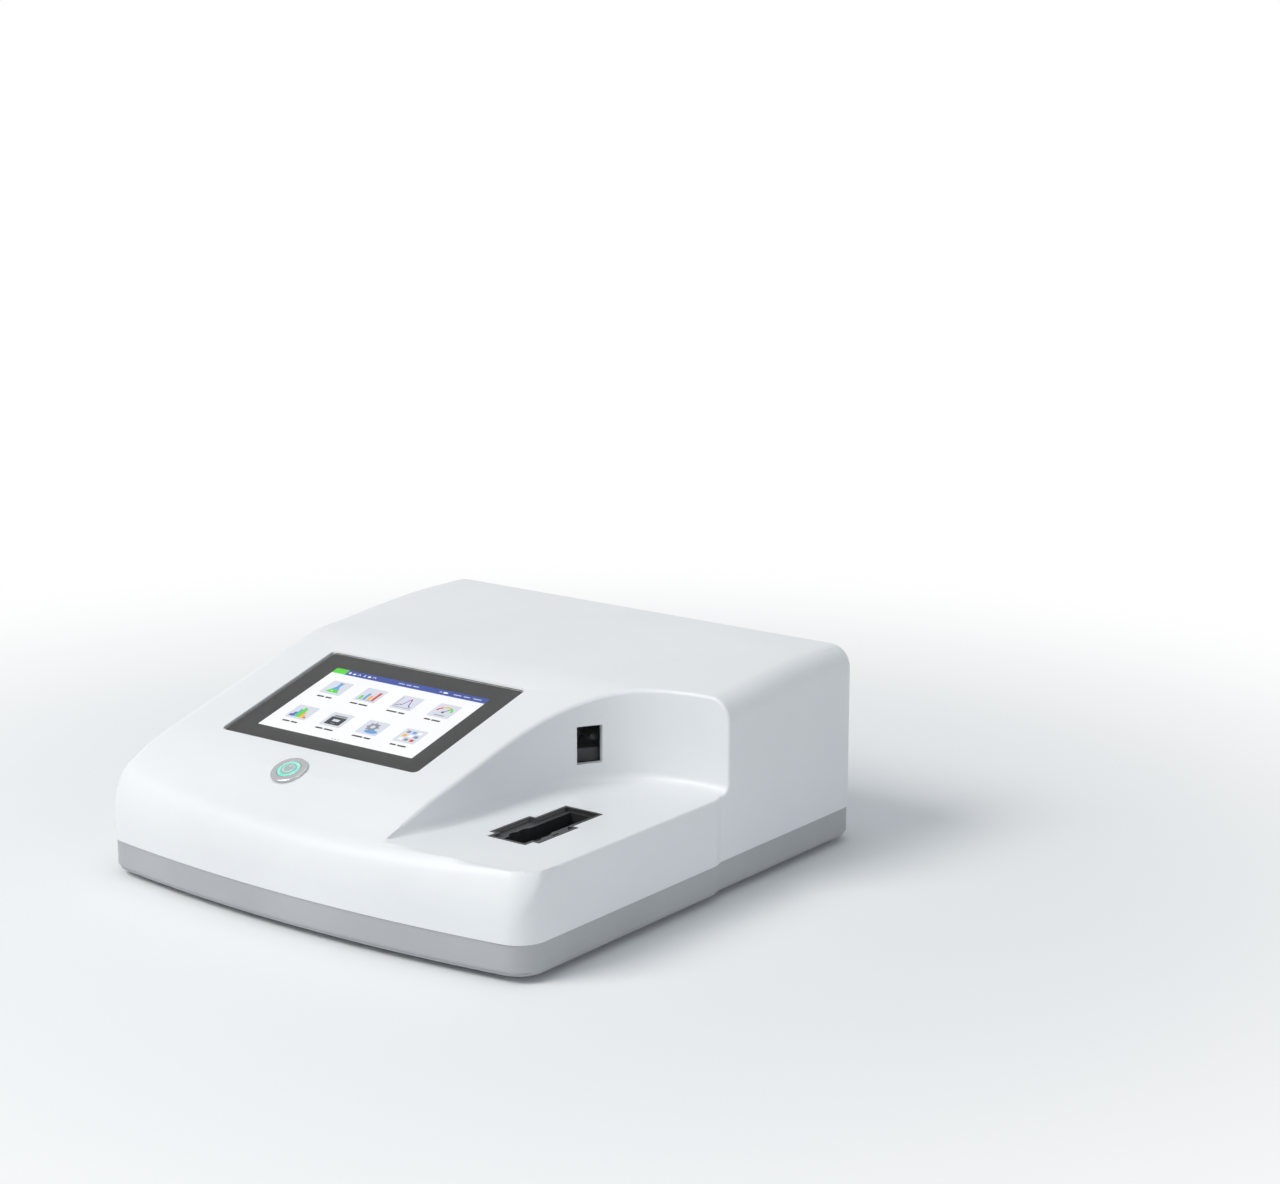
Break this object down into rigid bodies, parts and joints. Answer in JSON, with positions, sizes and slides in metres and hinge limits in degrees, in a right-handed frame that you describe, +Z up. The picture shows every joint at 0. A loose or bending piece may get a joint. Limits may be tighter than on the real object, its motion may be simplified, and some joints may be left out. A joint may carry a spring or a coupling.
{
  "type": "bench spectrophotometer",
  "caption": "Wedge-shaped bench spectrophotometer with a sloping touch screen, a round power switch and a low deck with a cuvette slot and a scanner window.",
  "frame": {"origin": "on the table, under the middle of the housing", "axes": "+X to the right as seen from the front, +Y from the front to the rear, +Z up"},
  "size_m": [0.286, 0.3, 0.11],
  "materials": {
    "shell": "fine satin, cool white",
    "tray": "fine grain, light grey",
    "foot_rubber": "soft, matt",
    "battery_sleeve": "shrink sleeve",
    "screw_steel": "zinc plated",
    "cover_glass": "polished, dark printed border",
    "panel": "lit screen",
    "plated_steel": "stamped, plated",
    "circuit_board": "solder mask",
    "ribbon": "flat ribbon",
    "switch_steel": "satin stainless",
    "lit_ring": "translucent, lit",
    "black_plastic": "fine grain black",
    "black_aluminium": "black anodised",
    "brass": "machined",
    "clear_glass": "polished",
    "mirror_coat": "front-coated",
    "motor_steel": "satin",
    "filter_glass": "coloured glass",
    "ceramic": "glazed",
    "lead_skin": "heat-proof sleeve"
  },
  "bodies": {
    "housing": {"top_shell": "shell", "base_tray": "tray", "feet": "foot_rubber", "battery_door": "tray", "battery_pack": "battery_sleeve", "case_screws": "screw_steel", "display_glass": "cover_glass", "display_gasket": "foot_rubber", "lcd_panel": "panel", "display_frame": "plated_steel", "display_board": "circuit_board", "display_ribbon": "ribbon", "switch_body": "switch_steel", "switch_nut": "switch_steel", "cuvette_insert": "black_plastic", "cell_holder": "black_aluminium", "nose_barrel": "switch_steel", "detector_board": "circuit_board", "scanner_window": "clear_glass", "scanner_tunnel": "black_plastic", "scanner_module": "black_plastic", "mono_housing": "black_aluminium", "mono_cover": "black_aluminium", "slit_plates": "black_plastic", "mirror_mounts": "black_aluminium", "mirrors": "mirror_coat", "grating_motor": "motor_steel", "beam_splitter": "clear_glass", "wheel_bracket": "plated_steel", "wheel_motor": "motor_steel", "lamp_bulb": "clear_glass", "lamp_socket": "ceramic", "lamp_shield": "screw_steel", "condenser_lens": "clear_glass", "lens_cell": "black_aluminium", "lamp_lead": "lead_skin", "main_board": "circuit_board", "board_parts": "black_plastic", "rear_sockets": "plated_steel", "board_screws": "screw_steel"},
    "power_button": {"power_button": "switch_steel", "button_ring": "lit_ring"},
    "cell_nose": {"cell_nose": "brass"},
    "grating_table": {"grating_table": "black_aluminium", "grating": "mirror_coat", "grating_gear": "brass"},
    "grating_pinion": {"grating_pinion": "brass"},
    "filter_wheel": {"filter_wheel": "black_aluminium", "filters": "filter_glass"},
    "wheel_pinion": {"wheel_pinion": "brass"}
  },
  "joints": [
    {"name": "power_button_press", "type": "slide", "parent": "housing", "child": "power_button", "axis": [0, 0.3747, -0.9272], "range_m": [0, 0.0012], "stiffness_N_per_m": 900, "springref_m": -0.002},
    {"name": "cell_nose_slide", "type": "slide", "parent": "housing", "child": "cell_nose", "axis": [1, 0, 0], "range_m": [0, 0.0015], "stiffness_N_per_m": 600, "springref_m": -0.002},
    {"name": "grating_turn", "type": "hinge", "parent": "housing", "child": "grating_table", "pos_m": [0.0675, 0.00065, 0.031], "axis": [0, 0, 1], "range_deg": [-15, 15]},
    {"name": "grating_pinion_turn", "type": "hinge", "parent": "housing", "child": "grating_pinion", "pos_m": [0.04709, -0.00678, 0.031], "axis": [0, 0, 1], "range_deg": [-75.5, 75.5]},
    {"name": "filter_wheel_turn", "type": "hinge", "parent": "housing", "child": "filter_wheel", "pos_m": [0.085, -0.02935, 0.031], "axis": [0, -1, 0], "continuous": true},
    {"name": "wheel_pinion_turn", "type": "hinge", "parent": "housing", "child": "wheel_pinion", "pos_m": [0.06208, -0.02935, 0.031], "axis": [0, -1, 0], "continuous": true}
  ],
  "couplings": [
    {"joint": "grating_pinion_turn", "follows": "grating_turn", "ratio": -5},
    {"joint": "wheel_pinion_turn", "follows": "filter_wheel_turn", "ratio": -5.3333}
  ]
}
